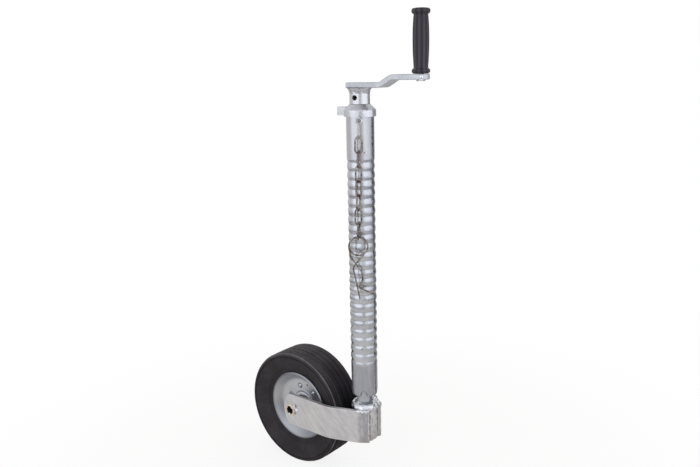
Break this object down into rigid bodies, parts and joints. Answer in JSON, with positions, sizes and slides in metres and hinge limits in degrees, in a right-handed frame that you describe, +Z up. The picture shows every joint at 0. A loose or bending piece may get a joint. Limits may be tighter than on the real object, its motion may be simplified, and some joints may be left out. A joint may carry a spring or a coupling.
{
  "type": "jockey wheel",
  "caption": "Trailer jockey wheel: ribbed steel column with a cranked spindle, telescoping inner tube, fork with a solid rubber wheel, and a chained spring clip.",
  "frame": {"origin": "on the column's axis, in the middle of the ribbed zone that a trailer's clamp grips", "axes": "+Z up the column towards the crank, +X along the crank arm at rest with the wheel trailing to -X, +Y across the wheel"},
  "size_m": [0.3954, 0.094, 0.8409],
  "materials": {
    "galvanised_tube": "hot-dip galvanised, semi-gloss",
    "galvanised_head": "hot-dip galvanised, semi-gloss",
    "galvanised_bar": "hot-dip galvanised, matt and cloudy",
    "weld_metal": "weld bead under zinc, uneven and bright",
    "zinc_rim": "zinc-plated pressed sheet, satin",
    "bright_steel": "plated steel, smooth",
    "dark_steel": "blackened spring steel",
    "steel_wire": "drawn wire, slightly dulled",
    "brass": "machined",
    "guide_plastic": "moulded nylon",
    "grip_plastic": "moulded, satin",
    "seal_rubber": "moulded",
    "tyre_rubber": "solid rubber, matt"
  },
  "bodies": {
    "column": {"outer_tube": "galvanised_tube", "head_collar": "galvanised_head", "lower_guide": "bright_steel", "thrust_race_upper": "bright_steel", "thrust_cage": "brass", "chain_eye": "steel_wire"},
    "crank": {"crank_arm": "galvanised_bar", "crank_hub": "galvanised_head", "hub_weld": "weld_metal", "spindle": "bright_steel", "spindle_stop": "bright_steel", "spring_pin": "dark_steel", "thrust_race_lower": "bright_steel", "grip_pin": "bright_steel"},
    "grip": {"grip": "grip_plastic"},
    "lift": {"spindle_nut": "brass"},
    "stem": {"inner_tube": "bright_steel", "upper_guide": "guide_plastic", "stem_socket": "galvanised_head", "fork_arm_near": "galvanised_bar", "fork_arm_far": "galvanised_bar", "fork_welds": "weld_metal", "stem_cup": "weld_metal", "lock_key": "weld_metal", "axle": "bright_steel", "axle_spacer_near": "bright_steel", "axle_spacer_far": "bright_steel", "bearing_inner_race": "bright_steel"},
    "wheel": {"tyre": "tyre_rubber", "rim_near": "zinc_rim", "rim_far": "zinc_rim", "rim_rivets": "zinc_rim", "bearing_outer_race": "bright_steel", "bearing_seals": "seal_rubber"},
    "chain": {"chain_links": "steel_wire"},
    "clip": {"spring_clip": "steel_wire"}
  },
  "joints": [
    {"name": "crank_turn", "type": "hinge", "parent": "column", "child": "crank", "pos_m": [0, 0, 0.2765], "axis": [0, 0, -1], "range_deg": [0, 20700]},
    {"name": "grip_spin", "type": "hinge", "parent": "crank", "child": "grip", "pos_m": [0.1225, 0, 0.3755], "axis": [0, 0, 1], "continuous": true},
    {"name": "lift", "type": "slide", "parent": "column", "child": "lift", "axis": [0, 0, -1], "range_m": [0, 0.23]},
    {"name": "swivel", "type": "hinge", "parent": "lift", "child": "stem", "pos_m": [0, 0, -0.2629], "axis": [0, 0, 1], "continuous": true},
    {"name": "wheel_spin", "type": "hinge", "parent": "stem", "child": "wheel", "pos_m": [-0.148, 0, -0.3049], "axis": [0, 1, 0], "continuous": true},
    {"name": "chain_swing", "type": "hinge", "parent": "column", "child": "chain", "pos_m": [0.01737, -0.02675, 0.2458], "axis": [-0.8387, -0.5446, 0], "range_deg": [0, 75]},
    {"name": "clip_swing", "type": "hinge", "parent": "chain", "child": "clip", "pos_m": [0.01384, -0.02905, 0.04944], "axis": [-0.5446, 0.8387, 0], "range_deg": [-60, 60]}
  ],
  "couplings": [
    {"joint": "lift", "follows": "crank_turn", "m_per_rad": 0.00063661}
  ]
}
